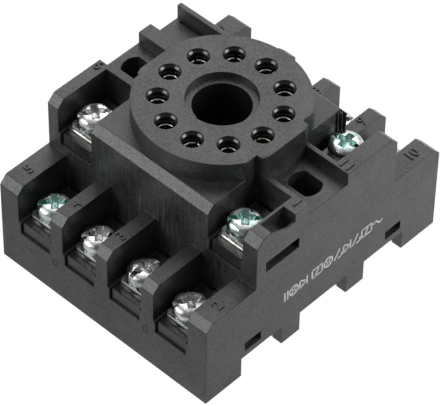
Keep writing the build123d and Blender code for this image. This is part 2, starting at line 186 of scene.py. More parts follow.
def moulded_plastic(name, dark, light, roughness, grain_depth_mm, grain_shade, dragged=0.0):
    """PBT from a mould: finely grained, a little cloudy, with pale upright drag marks on one wall."""
    material, tree = new_material(name)
    where = add(tree, "ShaderNodeTexCoord").outputs["Object"]
    grain = add(tree, "ShaderNodeTexNoise", {"Scale": 1 / (GRAIN_MM * mm), "Detail": 4.0, "Roughness": 0.7},
                {"Vector": where})
    cloud = add(tree, "ShaderNodeTexNoise", {"Scale": 1 / (CLOUD_MM * mm), "Detail": 3.0}, {"Vector": where})
    upright = add(tree, "ShaderNodeVectorMath", {"operation": "MULTIPLY", 1: (1, 1, DRAG_MARK_STRETCH)},
                  {0: where})
    drag = add(tree, "ShaderNodeTexNoise", {"Scale": 1 / (DRAG_MARK_MM * mm), "Detail": 2.0},
               {"Vector": upright.outputs["Vector"]})
    speckle = ranged(tree, grain.outputs["Fac"], *GRAIN_RANGE)
    flow = ranged(tree, cloud.outputs["Fac"], *CLOUD_RANGE, -CLOUD_SHARE, CLOUD_SHARE)
    blend = add(tree, "ShaderNodeMath", {"operation": "ADD", "use_clamp": True}, {0: speckle, 1: flow})
    grained = add(tree, "ShaderNodeMix", {"data_type": "RGBA", 6: linear(dark), 7: linear(light)},
                  {0: blend.outputs["Value"]})
    depth = add(tree, "ShaderNodeSeparateXYZ", None, {0: where}).outputs["Y"]
    on_wall = add(tree, "ShaderNodeMath",
                  {"operation": "COMPARE", 1: DRAGGED_WALL_Y, 2: DRAGGED_WALL_REACH}, {0: depth})
    marks = add(tree, "ShaderNodeMath", {"operation": "MULTIPLY"},
                {0: ranged(tree, drag.outputs["Fac"], *DRAG_MARK_RANGE),
                 1: ranged(tree, on_wall.outputs["Value"], 0.0, 1.0, DRAG_ELSEWHERE * dragged, dragged)})
    colour = add(tree, "ShaderNodeMix", {"data_type": "RGBA", 7: linear(DRAG_MARK_COLOUR)},
                 {0: marks.outputs["Value"], 6: grained.outputs[2]})
    satin = add(tree, "ShaderNodeMapRange",
                {"To Min": roughness - CLOUD_ROUGHNESS, "To Max": roughness + CLOUD_ROUGHNESS},
                {"Value": cloud.outputs["Fac"]})
    relief = add(tree, "ShaderNodeBump", {"Strength": 0.6, "Distance": grain_depth_mm * mm},
                 {"Height": grain.outputs["Fac"]})
    open_grain = ranged(tree, blend.outputs["Value"], 0.0, 1.0, 0.5 - grain_shade, 0.5 + grain_shade)
    shader = add(tree, "ShaderNodeBsdfPrincipled", {"IOR": 1.53},
                 {"Base Color": colour.outputs[2], "Roughness": satin.outputs["Result"],
                  "Specular IOR Level": open_grain, "Normal": relief.outputs["Normal"]})
    add(tree, "ShaderNodeOutputMaterial", None, {"Surface": shader.outputs["BSDF"]})
    return material


housing_plastic = moulded_plastic("moulded_pbt_housing", "#070808", "#3a3b3c", 0.34, 0.05, 0.13, dragged=0.22)
# Plastic for the hole walls: the gloss is real, and the darker colour is painted shade inside the holes.
glossy_shaded_plastic = moulded_plastic("moulded_pbt_glossy_painted_shade", "#141516", "#1c1d1e", 0.15, 0.004, 0.02)
base_plastic = moulded_plastic("moulded_pbt_base", "#0a0b0c", "#313232", 0.34, 0.05, 0.1)
latch_plastic = moulded_plastic("moulded_acetal_latch", "#151617", "#242526", 0.33, 0.01, 0.05)
print("plastics:", housing_plastic.name, base_plastic.name, latch_plastic.name)

# %% [markdown]
# ## Plated metals
# Screws and washers are carbon steel with bright zinc plating and a thin blue passivation, which gives the
# metal its white lights and its teal tint. The contacts are brass strip under nickel, warmer and a little
# softer. Both are full metals, so the colour sits in the reflection. The tint changes over a millimetre or
# two, and fine marks from barrel plating break up the gloss. All screws share one mesh, so the place of each
# piece is added to the position that the noise reads: no two screws are tinted alike.

# %% Plated metals
TINT_MM = 1.6
TINT_RANGE = (0.42, 0.62)
TUMBLE_MM = 0.35
TUMBLE_ROUGHNESS = 0.08


def plated_metal(name, bright, tint, roughness, tumble_depth_mm):
    """Barrel plated metal: bright, tinted in patches, with fine tumbling marks."""
    material, tree = new_material(name)
    at_piece = add(tree, "ShaderNodeTexCoord").outputs["Object"]
    piece_place = add(tree, "ShaderNodeObjectInfo").outputs["Location"]
    placed = add(tree, "ShaderNodeVectorMath", {"operation": "ADD"}, {0: at_piece, 1: piece_place})
    where = placed.outputs["Vector"]
    patches = add(tree, "ShaderNodeTexNoise", {"Scale": 1 / (TINT_MM * mm), "Detail": 2.0}, {"Vector": where})
    marks = add(tree, "ShaderNodeTexNoise", {"Scale": 1 / (TUMBLE_MM * mm), "Detail": 4.0, "Roughness": 0.6},
                {"Vector": where})
    amount = ranged(tree, patches.outputs["Fac"], *TINT_RANGE)
    colour = add(tree, "ShaderNodeMix", {"data_type": "RGBA", 6: linear(bright), 7: linear(tint)},
                 {0: amount})
    gloss = add(tree, "ShaderNodeMapRange",
                {"To Min": roughness - TUMBLE_ROUGHNESS, "To Max": roughness + TUMBLE_ROUGHNESS},
                {"Value": marks.outputs["Fac"]})
    relief = add(tree, "ShaderNodeBump", {"Strength": 0.8, "Distance": tumble_depth_mm * mm},
                 {"Height": marks.outputs["Fac"]})
    shader = add(tree, "ShaderNodeBsdfPrincipled", {"Metallic": 1.0},
                 {"Base Color": colour.outputs[2], "Roughness": gloss.outputs["Result"],
                  "Normal": relief.outputs["Normal"]})
    add(tree, "ShaderNodeOutputMaterial", None, {"Surface": shader.outputs["BSDF"]})
    return material


zinc_steel = plated_metal("zinc_plated_steel", "#ebecec", "#b5b7b7", 0.14, 0.06)
# The recess finishes are rougher, and they are darker as painted shade in the screws' recesses.
zinc_shaded_recess = plated_metal("zinc_plated_recess_painted_shade", "#d0d1d0", "#959795", 0.26, 0.08)
zinc_teal = plated_metal("zinc_teal_steel", "#e9ebeb", "#b3c9c5", 0.14, 0.06)
zinc_teal_shaded_recess = plated_metal("zinc_teal_shaded_recess", "#b9d6d0", "#7fb0a7", 0.26, 0.08)
zinc_washer = plated_metal("zinc_plated_washer", "#e6e8e8", "#bfc7c6", 0.17, 0.04)
nickel_brass = plated_metal("nickel_plated_brass", "#e6e4df", "#cbc7bd", 0.2, 0.01)
spring_steel = plated_metal("zinc_plated_spring_steel", "#c9cdcd", "#9aa9a7", 0.2, 0.01)
print("metals:", zinc_steel.name, zinc_washer.name, nickel_brass.name, spring_steel.name)

# %% [markdown]
# ## Mesh tools
# A piece is made as a list of points and faces, then smoothed where it is round and left crisp where it
# is not. Edges of real parts are never knife sharp: a tenth of a millimetre of rounding catches a thin
# line of light, and that line is most of what makes a moulding look real.

# %% Mesh helpers
CRISP_ANGLE = math.radians(32)


def link_piece(name, mesh, material, body):
    """A mesh as a shown piece that rides on a body of the frame."""
    piece = bpy.data.objects.new(name, mesh)
    bpy.context.scene.collection.objects.link(piece)
    if not mesh.materials:
        mesh.materials.append(material)
    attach(piece, body)
    return piece


def shade(mesh):
    """Smooth shading, with edges sharper than the crisp angle left crisp."""
    work = bmesh.new()
    work.from_mesh(mesh)
    for face in work.faces:
        face.smooth = True
    for edge in work.edges:
        edge.smooth = len(edge.link_faces) == 2 and edge.calc_face_angle(0) < CRISP_ANGLE
    work.to_mesh(mesh)
    work.free()
    return mesh


def mesh_from(name, points, faces):
    """A mesh from points and faces, with its faces turned outwards."""
    mesh = bpy.data.meshes.new(name)
    mesh.from_pydata(points, [], faces)
    work = bmesh.new()
    work.from_mesh(mesh)
    bmesh.ops.remove_doubles(work, verts=work.verts, dist=1e-7)
    bmesh.ops.recalc_face_normals(work, faces=work.faces)
    work.to_mesh(mesh)
    work.free()
    return mesh


def turned(name, profile, steps):
    """A mesh turned round Z from (radius, height) points."""
    rows = len(profile)
    points = []
    for step in range(steps):
        angle = 2 * math.pi * step / steps
        points += [(r * math.cos(angle), r * math.sin(angle), z) for r, z in profile]
    faces = []
    for step in range(steps):
        here, there = step * rows, (step + 1) % steps * rows
        faces += [(here + i, here + i + 1, there + i + 1, there + i) for i in range(rows - 1)]
    return mesh_from(name, points, faces)


def swept(name, path, section):
    """A closed mesh swept along (point, outward, upward) frames from (outward, upward) section points."""
    rows = len(section)
    points = [at + out * a + rise * b for at, out, rise in path for a, b in section]
    faces = []
    for step in range(len(path) - 1):
        here, there = step * rows, (step + 1) * rows
        faces += [(here + i, here + (i + 1) % rows, there + (i + 1) % rows, there + i) for i in range(rows)]
    faces += [tuple(range(rows)), tuple(range(len(points) - rows, len(points)))]
    return mesh_from(name, points, faces)


def prism(name, bottom, top):
    """A closed mesh between two outlines with the same number of points."""
    count = len(bottom)
    sides = [(i, (i + 1) % count, count + (i + 1) % count, count + i) for i in range(count)]
    return mesh_from(name, bottom + top, sides + [tuple(range(count)), tuple(range(count, 2 * count))])


def rectangle(half_x, half_y, z):
    """Four corners of a level rectangle round the Z axis."""
    return [(-half_x, -half_y, z), (half_x, -half_y, z), (half_x, half_y, z), (-half_x, half_y, z)]


def with_modifiers(mesh, settings):
    """The mesh after a list of (type, settings) modifiers."""
    carrier = bpy.data.objects.new("carrier", mesh)
    bpy.context.scene.collection.objects.link(carrier)
    for kind, values in settings:
        modifier = carrier.modifiers.new(kind, kind)
        for key, value in values.items():
            setattr(modifier, key, value)
    result = bpy.data.meshes.new_from_object(carrier.evaluated_get(bpy.context.evaluated_depsgraph_get()))
    bpy.data.objects.remove(carrier)
    return result


def carved(mesh, cutters):
    """The mesh with other meshes cut out of it."""
    for cutter in cutters:
        holder = bpy.data.objects.new("cutter", cutter)
        bpy.context.scene.collection.objects.link(holder)
        cut = {"object": holder, "operation": "DIFFERENCE", "solver": "EXACT"}
        mesh = with_modifiers(mesh, [("BOOLEAN", cut)])
        bpy.data.objects.remove(holder)
    return mesh


def rounded(mesh, width, shortest):
    """The mesh with its long sharp edges rounded. Returns it with how many edges were rounded."""
    work = bmesh.new()
    work.from_mesh(mesh)
    bmesh.ops.remove_doubles(work, verts=work.verts, dist=0.002 * mm)
    bmesh.ops.dissolve_limit(work, angle_limit=math.radians(0.6), verts=work.verts, edges=work.edges)
    sharp = [e for e in work.edges if len(e.link_faces) == 2 and e.calc_face_angle(0) > CRISP_ANGLE]
    long_enough = [e for e in sharp if e.calc_length() > shortest]
    bmesh.ops.bevel(work, geom=long_enough, offset=width, segments=2, profile=0.5, affect="EDGES",
                    clamp_overlap=False)
    bmesh.ops.triangulate(work, faces=[f for f in work.faces if len(f.verts) > 4])
    work.to_mesh(mesh)
    work.free()
    return with_modifiers(shade(mesh), [("WEIGHTED_NORMAL", {"keep_sharp": True})]), len(long_enough)


print("crisp above", round(math.degrees(CRISP_ANGLE)), "degrees")

# %% [markdown]
# ## Housing, base and latch
# These are hard mouldings whose shape the frame already has, made of flat faces and arcs. Each gets a copy
# whose coplanar triangles are merged, whose sharp edges are rounded, and which takes the place of the
# plain solid. A modifier could do the rounding too, but only the mesh tools can pick the edges that are
# long enough to take it. The front wall also gets two small rings, where the mould has its numbering plugs.
# The walls inside the disc's holes are given the glossier plastic, painted darker as shade.

# %% Round the edges of the mouldings
SHORTEST_EDGE = 0.35 * mm
PIN_RING_RADIUS = 10 * mm
PIN_COUNT = 11
PIN_HOLE_REACH = 1.84 * mm
KEY_HOLE_REACH = 5.84 * mm
PLUG_RINGS = [(-10.4 * mm, 7.1 * mm), (9.45 * mm, 7.3 * mm)]
PLUG_RING_RADIUS = 0.62 * mm
PLUG_RING_WIDTH = 0.16 * mm
PLUG_RING_DEPTH = 0.1 * mm
PLUG_RING_STRETCH = 1.3
PLUG_RING_STEPS = 32
DISC_SKIN = 0.05 * mm
LEVEL_ABOVE = 0.9


def pin_places():
    """X and Y of the pin holes, with the first one opposite the front row."""
    angles = [math.pi / 2 + 2 * math.pi * pin / PIN_COUNT for pin in range(PIN_COUNT)]
    return [(PIN_RING_RADIUS * math.cos(a), PIN_RING_RADIUS * math.sin(a)) for a in angles]


def ring_cutter(x, z, front):
    """A tube that cuts an upright oval ring into the front wall."""
    inner = PLUG_RING_RADIUS - PLUG_RING_WIDTH
    tube = turned("ring", [(inner, -mm), (PLUG_RING_RADIUS, -mm), (PLUG_RING_RADIUS, PLUG_RING_DEPTH),
                           (inner, PLUG_RING_DEPTH), (inner, -mm)], PLUG_RING_STEPS)
    upright = Matrix.Diagonal((1, 1, PLUG_RING_STRETCH, 1)) @ Matrix.Rotation(math.radians(-90), 4, "X")
    tube.transform(Matrix.Translation((x, front, z)) @ upright)
    return tube


def polish_holes(mesh, top):
    """Gives the walls of the pin holes and of the key bore the second material: glossier, and darker as
    painted shade.
    """
    centres = [(x, y, PIN_HOLE_REACH) for x, y in pin_places()] + [(0, 0, KEY_HOLE_REACH)]
    for face in mesh.polygons:
        x, y, z = face.center
        inside = any(math.hypot(x - cx, y - cy) < reach for cx, cy, reach in centres)
        if inside and z < top - DISC_SKIN and abs(face.normal.z) < LEVEL_ABOVE:
            face.material_index = 1


def softened(node, name, width, material, body, cutters=()):
    """A copy of a solid with cuts made and long sharp edges rounded, in place of that solid."""
    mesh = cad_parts[node].data.copy()
    mesh.materials.clear()
    mesh, count = rounded(carved(mesh, cutters), width, SHORTEST_EDGE)
    piece = link_piece(name, mesh, material, body)
    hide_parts(node)
    print(name, "edges rounded:", count, "faces:", len(mesh.polygons))
    return piece


rings = [ring_cutter(x, z, cad_box[0][1]) for x, z in PLUG_RINGS]
housing = softened("housing", "housing_moulding", 0.1 * mm, housing_plastic, "socket", rings)
housing.data.materials.append(glossy_shaded_plastic)
polish_holes(housing.data, cad_box[1][2])
base = softened("base", "base_moulding", 0.08 * mm, base_plastic, "socket")
latch = softened("rail_latch", "latch_moulding", 0.08 * mm, latch_plastic, "latch")

# %% [markdown]
# ## Contacts
# Each contact shows at two places: the front of its plate under the washer, and the mouth of its sleeve two
# millimetres down in the pin hole. The plate only needs its edges rounded. The mouth is what a pin meets
# first, so its two lips are rolled outwards, and they are the bright arcs seen in every hole. The ready
# sleeve is shortened a little to make room for them.

# %% Contacts and their lips
SLEEVE_CUT = 0.85 * mm
LIP_DEPTH = 2.05 * mm
LIP_OUTER = 1.64 * mm
LIP_ROLL = 0.2 * mm
LIP_SLIT = math.radians(16)
LIP_THROAT = [(1.25 * mm, -0.42 * mm), (1.21 * mm, -0.75 * mm), (1.2 * mm, -1.3 * mm)]
LIP_BACK = [(1.36 * mm, -1.3 * mm), (1.38 * mm, -0.6 * mm)]
LIP_SKIRT = -0.6 * mm
HALF_LIP_STEPS = 18
STRIP_ROUNDING = 0.05 * mm
STRIP_SHORTEST = 0.5 * mm


def lip_section():
    """Section of a rolled lip as (radius, height) points, with its crest at height nought."""
    roll = [(LIP_OUTER - LIP_ROLL + LIP_ROLL * math.cos(a), LIP_ROLL * (math.sin(a) - 1)) for a in
            (math.pi * i / 8 for i in range(9))]
    return [(LIP_OUTER, LIP_SKIRT)] + roll + LIP_THROAT + LIP_BACK


def lip_mesh():
    """Two half lips round the Z axis, with a slit at each side."""
    section = lip_section()
    work = bmesh.new()
    for first in (0, math.pi):
        angles = [first + LIP_SLIT / 2 + (math.pi - LIP_SLIT) * i / HALF_LIP_STEPS
                  for i in range(HALF_LIP_STEPS + 1)]
        path = [(Vector((0, 0, 0)), Vector((math.cos(a), math.sin(a), 0)), Vector((0, 0, 1))) for a in angles]
        work.from_mesh(shade(swept("half_lip", path, section)))
    mesh = bpy.data.meshes.new("contact_lips")
    work.to_mesh(mesh)
    work.free()
    mesh.materials.append(nickel_brass)
    return mesh


shared_lips = lip_mesh()
contact_names = sorted(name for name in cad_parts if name.startswith("contact_"))
sleeve_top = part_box(contact_names[0])[1][2]
lip_crest = cad_box[1][2] - LIP_DEPTH
for name in contact_names:
    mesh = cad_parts[name].data.copy()
    mesh.materials.clear()
    for vertex in mesh.vertices:
        if vertex.co.z > sleeve_top - 0.01 * mm:
            vertex.co.z -= SLEEVE_CUT
    shape = rounded(mesh, STRIP_ROUNDING, STRIP_SHORTEST)[0]
    strip = link_piece(f"{name}_strip", shape, nickel_brass, "socket")
    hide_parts(name)
for pin, (x, y) in enumerate(pin_places(), 1):
    lips = link_piece(f"contact_lips_{pin}", shared_lips, nickel_brass, "socket")
    lips.location = (x, y, lip_crest)
    lips.rotation_euler.z = math.atan2(y, x)
    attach(lips, "socket")
print("contacts:", len(contact_names), "lip crest at, mm:", round(lip_crest / mm, 2))

# %% [markdown]
# ## Terminal screws
# Each screw is M3 with a pan head that takes a flat or a cross driver. The head is turned from a curve, a
# slot runs right across it, and four tapered wings cut the cross. The cut faces are rougher than the rolled
# head, and they are also given a darker colour, which is painted shade in the recess. The thread is a true
# helix of 0.5 mm pitch wrapped round a core, because a screw that is backed out shows it. All eleven share
# one shape, and each stands at its own angle.
# Three come from a batch with more passivation, and they are the teal ones.

# %% Terminal screws
TERMINALS = range(1, 12)
TEAL_SCREWS = (1, 5, 11)
THREAD_PITCH = 0.5 * mm
THREAD_DEPTH = 0.28 * mm
THREAD_START = 0.4 * mm
THREAD_OVERLAP = 0.02 * mm
RIDGE_FOOT = 0.44 * THREAD_PITCH
RIDGE_CREST = 0.07 * THREAD_PITCH
TURN_STEPS = 24
SHANK_RADIUS = 1.5 * mm
TIP_CHAMFER = 0.35 * mm
HEAD_STEPS = 64
HEAD_RIM_SHARE = 0.38
HEAD_FOOT = 0.06 * mm
HEAD_ROUNDING = 0.05 * mm
HEAD_SHORTEST = 0.2 * mm
ROLLED_RIM = 0.12 * mm
SLOT_HALF_WIDTH = 0.42 * mm
SLOT_DEPTH = 0.75 * mm
CROSS_DEPTH = 1.3 * mm
CROSS_FLOOR = (0.3, 0.3 * mm)
CROSS_MOUTH = (0.68, 0.75 * mm)
CUT_OVER = 0.4 * mm
random.seed(11)


def foot_of(node):
    """X and Y of the middle of a node, and its lowest Z."""
    low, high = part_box(node)
    return (low[0] + high[0]) / 2, (low[1] + high[1]) / 2, low[2]


def bezier(t, start, first_pull, second_pull, end):
    """The value at t, from 0 to 1, of a Bezier curve through its start and end."""
    left = 1 - t
    return (left ** 3 * start + 3 * left ** 2 * t * first_pull + 3 * left * t * t * second_pull
            + t ** 3 * end)


def head_profile(radius, height, rim):
    """Pan head from the middle of its top to the middle of its underside."""
    steps = 12
    profile = []
    for i in range(steps + 1):
        outward = bezier(i / steps, 0, 0.5, 1, 1)
        upward = bezier(i / steps, 1, 1, 1, 0)
        profile.append((radius * outward, rim + (height - rim) * upward))
    return profile + [(radius, HEAD_FOOT), (radius - HEAD_FOOT, 0), (0, 0)]


def recess_cutters(top, radius):
    """A slot right across the head, and the tapered wings of a cross."""
    slot = prism("slot", rectangle(2 * radius, SLOT_HALF_WIDTH, top - SLOT_DEPTH),
                 rectangle(2 * radius, SLOT_HALF_WIDTH, top + CUT_OVER))
    cutters = [slot]
    for turn in (0, 90):
        wing = prism("wing", rectangle(CROSS_FLOOR[0] * radius, CROSS_FLOOR[1], top - CROSS_DEPTH),
                     rectangle(CROSS_MOUTH[0] * radius, CROSS_MOUTH[1], top + CUT_OVER))
        wing.transform(Matrix.Rotation(math.radians(turn), 4, "Z"))
        cutters.append(wing)
    for cutter in cutters:
        two_finishes(cutter, 1)
    return cutters


def two_finishes(mesh, used):
    """Gives a mesh the head's finish and the recess's finish, which is darker as painted shade, and says
    which one all its faces use.
    """
    mesh.materials.append(zinc_steel)
    mesh.materials.append(zinc_shaded_recess)
    for face in mesh.polygons:
        face.material_index = used


def screw_mesh(head_radius, head_height, shank_radius, shank_length):
    """A pan head screw whose head sits on z = 0."""
    head = turned("head", head_profile(head_radius, head_height, HEAD_RIM_SHARE * head_height), HEAD_STEPS)
    two_finishes(head, 0)
    head = rounded(carved(head, recess_cutters(head_height, head_radius)), HEAD_ROUNDING, HEAD_SHORTEST)[0]
    core = shank_radius - THREAD_DEPTH
    lowest = TIP_CHAMFER - shank_length
    core_line = [(core, 0), (core, lowest), (core - TIP_CHAMFER, -shank_length), (0, -shank_length)]
    shank = turned("core", core_line, TURN_STEPS)
    turns = (shank_length - TIP_CHAMFER - THREAD_START) / THREAD_PITCH
    path = []
    for step in range(int(turns * TURN_STEPS)):
        angle = 2 * math.pi * step / TURN_STEPS
        out = Vector((math.cos(angle), math.sin(angle), 0))
        at = out * core + Vector((0, 0, lowest + THREAD_PITCH * (step / TURN_STEPS + 0.5)))
        path.append((at, out, Vector((0, 0, 1))))
    ridge = [(-THREAD_OVERLAP, -RIDGE_FOOT), (THREAD_DEPTH, -RIDGE_CREST), (THREAD_DEPTH, RIDGE_CREST),
             (-THREAD_OVERLAP, RIDGE_FOOT)]
    thread = swept("thread", path, ridge)
    work = bmesh.new()
    for part in (head, shade(shank), shade(thread)):
        work.from_mesh(part)
    mesh = bpy.data.meshes.new("terminal_screw")
    work.to_mesh(mesh)
    work.free()
    mesh.materials.append(zinc_steel)
    mesh.materials.append(zinc_shaded_recess)
    return mesh


seat = [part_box(f"spring_washer_{k}")[1][2] for k in TERMINALS]
screw_low, screw_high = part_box("screw_1")
head_radius = (screw_high[0] - screw_low[0]) / 2 - ROLLED_RIM
shared_screw = screw_mesh(head_radius, screw_high[2] - seat[0], SHANK_RADIUS, seat[0] - screw_low[2])
teal_screw = shared_screw.copy()
teal_screw.name = "terminal_screw_teal"
teal_screw.materials[0] = zinc_teal
teal_screw.materials[1] = zinc_teal_shaded_recess
for k in TERMINALS:
    x, y, _ = foot_of(f"screw_{k}")
    finish = teal_screw if k in TEAL_SCREWS else shared_screw
    piece = link_piece(f"terminal_screw_{k}", finish, zinc_steel, f"screw_{k}")
    piece.location = (x, y, seat[k - 1])
    piece.rotation_euler.z = random.uniform(0, math.pi / 2)
    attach(piece, f"screw_{k}")
    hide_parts(f"screw_{k}")
print("screw triangles:", sum(len(f.vertices) - 2 for f in shared_screw.polygons))

# %% [markdown]
# ## Washers
# Under each head lie a split spring washer and a square clamp washer. The clamp washer is a stamping: its
# edges are rolled over a little and its underside has grooves that bite into the wire. The spring washer
# is a ring of wire cut through at one place, with its two ends a hair apart in height.

# %% Washers
WASHER_HOLE_RADIUS = 1.65 * mm
WASHER_HOLE_STEPS = 40
CLAMP_CORNER = 0.5 * mm
CLAMP_ROUNDING = 0.16 * mm
CLAMP_SHORTEST = 0.3 * mm
GROOVE_PLACES = (-2.15 * mm, -1.85 * mm, 1.85 * mm, 2.15 * mm)
GROOVE_HALF_LENGTH = 4 * mm
GROOVE_HALF_MOUTH = 0.09 * mm
GROOVE_HALF_FLOOR = 0.05 * mm
GROOVE_DEPTH = 0.1 * mm
GROOVE_UNDER = 0.2 * mm
RING_STEPS = 60
RING_CUT = math.radians(9)
RING_RISE_SHARE = 0.12
RING_SOFT = 0.15 * mm


def clamp_washer_mesh(half, thickness, hole_radius):
    """A square stamped washer with cut corners, whose underside is at z = 0."""
    outline = []
    for sx, sy in ((1, 1), (-1, 1), (-1, -1), (1, -1)):
        ends = [(sx * half, sy * (half - CLAMP_CORNER)), (sx * (half - CLAMP_CORNER), sy * half)]
        outline += ends if sx * sy > 0 else ends[::-1]
    plate = prism("clamp", [(x, y, 0) for x, y in outline], [(x, y, thickness) for x, y in outline])
    bore = [(0, -mm), (hole_radius, -mm), (hole_radius, 2 * mm), (0, 2 * mm)]
    hole = turned("hole", bore, WASHER_HOLE_STEPS)
    grooves = []
    for y in GROOVE_PLACES:
        groove = prism("groove", rectangle(GROOVE_HALF_LENGTH, GROOVE_HALF_MOUTH, -GROOVE_UNDER),
                       rectangle(GROOVE_HALF_LENGTH, GROOVE_HALF_FLOOR, GROOVE_DEPTH))
        groove.transform(Matrix.Translation((0, y, 0)))
        grooves.append(groove)
    mesh = rounded(carved(plate, [hole] + grooves), CLAMP_ROUNDING, CLAMP_SHORTEST)[0]
    mesh.name = "clamp_washer"
    return mesh


def spring_washer_mesh(outer, inner, thickness):
    """A split ring whose underside is at z = 0."""
    rise = RING_RISE_SHARE * thickness
    soft = RING_SOFT
    width, height = outer - inner, thickness - rise
    section = [(soft, 0), (width - soft, 0), (width, soft), (width, height - soft), (width - soft, height),
               (soft, height), (0, height - soft), (0, soft)]
    path = []
    for step in range(RING_STEPS + 1):
        angle = RING_CUT / 2 + (2 * math.pi - RING_CUT) * step / RING_STEPS
        out = Vector((math.cos(angle), math.sin(angle), 0))
        path.append((out * inner + Vector((0, 0, rise * step / RING_STEPS)), out, Vector((0, 0, 1))))
    return shade(swept("spring_washer", path, section))


def laid_down(mesh, name, material, node, body, turn):
    """One shared mesh set down at the place of a node, turned about Z, in place of that node."""
    piece = link_piece(name, mesh, material, body)
    piece.location = foot_of(node)
    piece.rotation_euler.z = turn
    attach(piece, body)
    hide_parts(node)


clamp_low, clamp_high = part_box("clamp_washer_1")
shared_clamp = clamp_washer_mesh((clamp_high[0] - clamp_low[0]) / 2, clamp_high[2] - clamp_low[2],
                                 WASHER_HOLE_RADIUS)
ring_low, ring_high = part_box("spring_washer_1")
shared_ring = spring_washer_mesh((ring_high[0] - ring_low[0]) / 2, WASHER_HOLE_RADIUS,
                                 ring_high[2] - ring_low[2])
for k in TERMINALS:
    laid_down(shared_clamp, f"clamp_washer_plate_{k}", zinc_washer, f"clamp_washer_{k}", f"clamp_{k}",
              0)
    laid_down(shared_ring, f"spring_washer_ring_{k}", spring_steel, f"spring_washer_{k}", f"clamp_{k}",
              random.uniform(0, 2 * math.pi))
print("washers:", len(shared_clamp.polygons), "and", len(shared_ring.polygons), "faces each")

# %% [markdown]
# ## Latch spring
# The rail latch is pushed home by a small coil spring with closed, ground ends. It is swept along a helix
# whose pitch shrinks at both ends. When the latch slides out the spring is pressed.

# %% Latch spring
WIRE_RADIUS = 0.18 * mm
COIL_TURNS = 7
COIL_STEPS = 24
WIRE_SIDES = 8
CLOSED_LENGTH = 0.16


def coil_mesh(name, radius, length):
    """A compression spring along +Y with closed ends, whose near end is at y = 0."""
    steps = COIL_TURNS * COIL_STEPS
    section = [(WIRE_RADIUS * math.cos(a), WIRE_RADIUS * math.sin(a)) for a in
               (2 * math.pi * i / WIRE_SIDES for i in range(WIRE_SIDES))]
    free = length - 2 * WIRE_RADIUS
    closed_share = 1.0 / COIL_TURNS
    path = []
    for step in range(steps + 1):
        t = step / steps
        angle = 2 * math.pi * COIL_TURNS * t
        open_part = min(max((t - closed_share) / (1 - 2 * closed_share), 0), 1)
        closed_part = t - open_part * (1 - 2 * closed_share)
        closed_length = CLOSED_LENGTH * closed_part / (2 * closed_share)
        y = WIRE_RADIUS + free * (closed_length + (1 - CLOSED_LENGTH) * open_part)
        out = Vector((math.cos(angle), 0, math.sin(angle)))
        path.append((Vector((0, y, 0)) + out * radius, out, Vector((0, 1, 0))))
    return shade(swept(name, path, section))


coil_low, coil_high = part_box("latch_spring")
coil_radius = (coil_high[0] - coil_low[0]) / 2 - WIRE_RADIUS
coil_shape = coil_mesh("latch_coil", coil_radius, coil_high[1] - coil_low[1])
coil = link_piece("latch_coil", coil_shape, spring_steel, "socket")
coil.location = ((coil_low[0] + coil_high[0]) / 2, coil_low[1], (coil_low[2] + coil_high[2]) / 2)
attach(coil, "socket")
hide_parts("latch_spring")
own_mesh(coil)
print("coil radius, mm:", round(coil_radius / mm, 2))

# %% [markdown]
# ## Raised numbers
# The mould leaves a small raised number beside each terminal, on top of a wall. Plain type turned into a
# thin solid does this. It stands a fifth of a millimetre proud and is the same plastic as the wall, so only
# the light on its edges shows it. The lower walls are narrow, so their numbers read along them. The ends of
# each row have theirs on the outer walls, and the others on the divider beside them.

# %% Raised numbers
NUMBER_SIZE = 2.6 * mm
NUMBER_HEIGHT = 0.2 * mm
NUMBER_THICKENED = 0.04 * mm
UPPER_TERMINALS = (1, 6, 11)
BAY_WIDTH = 7.3 * mm
LOWER_WALL_TOP = 17.7 * mm
UPPER_WALL_TOP = 28.0 * mm
ROW_END_X = 12 * mm
UPPER_NUMBER_IN = 1.5 * mm
UPPER_NUMBER_BACK = 5.8 * mm
OUTER_NUMBER_IN = 2.0 * mm
DIVIDER_NUMBER_IN = 1.3 * mm


def raised_number(number, x, y, z, turn):
    """A number of the mould, standing on a wall at (x, y, z) and turned about Z."""
    words = bpy.data.curves.new(f"number_{number}", "FONT")
    words.body = str(number)
    words.size = NUMBER_SIZE
    words.extrude = NUMBER_HEIGHT
    words.offset = NUMBER_THICKENED
    words.align_x = "CENTER"
    words.align_y = "CENTER"
    holder = bpy.data.objects.new("number", words)
    bpy.context.scene.collection.objects.link(holder)
    mesh = bpy.data.meshes.new_from_object(holder.evaluated_get(bpy.context.evaluated_depsgraph_get()))
    bpy.data.objects.remove(holder)
    mesh.materials.clear()
    mesh.transform(Matrix.Translation((x, y, z)) @ Matrix.Rotation(turn, 4, "Z"))
    piece = link_piece(f"raised_number_{number}", mesh, housing_plastic, "socket")


for k in TERMINALS:
    x, y, _ = foot_of(f"screw_{k}")
    side = 1 if x > 0 else -1
    towards_end = 1 if y > 0 else -1
    if k in UPPER_TERMINALS:
        raised_number(k, x + side * (BAY_WIDTH / 2 + UPPER_NUMBER_IN), y - towards_end * UPPER_NUMBER_BACK,
                      UPPER_WALL_TOP, 0)
    elif abs(x) > ROW_END_X:
        raised_number(k, x + side * (BAY_WIDTH / 2 + OUTER_NUMBER_IN), y, LOWER_WALL_TOP, math.pi / 2)
    else:
        raised_number(k, x + towards_end * (BAY_WIDTH / 2 + DIVIDER_NUMBER_IN), y, LOWER_WALL_TOP,
                      math.pi / 2)
print("numbers:", len(TERMINALS))

# %% [markdown]
# ## Printed signs
# The right side carries a line of white pad print. Here it is a row of plain circuit signs: a capacitor,
# lamps, diodes, coils, contacts and a wave. Each sign is a few strokes of even width, laid a few thousandths
# of a millimetre proud of the wall. The print runs slightly uphill, as prints set by hand do.

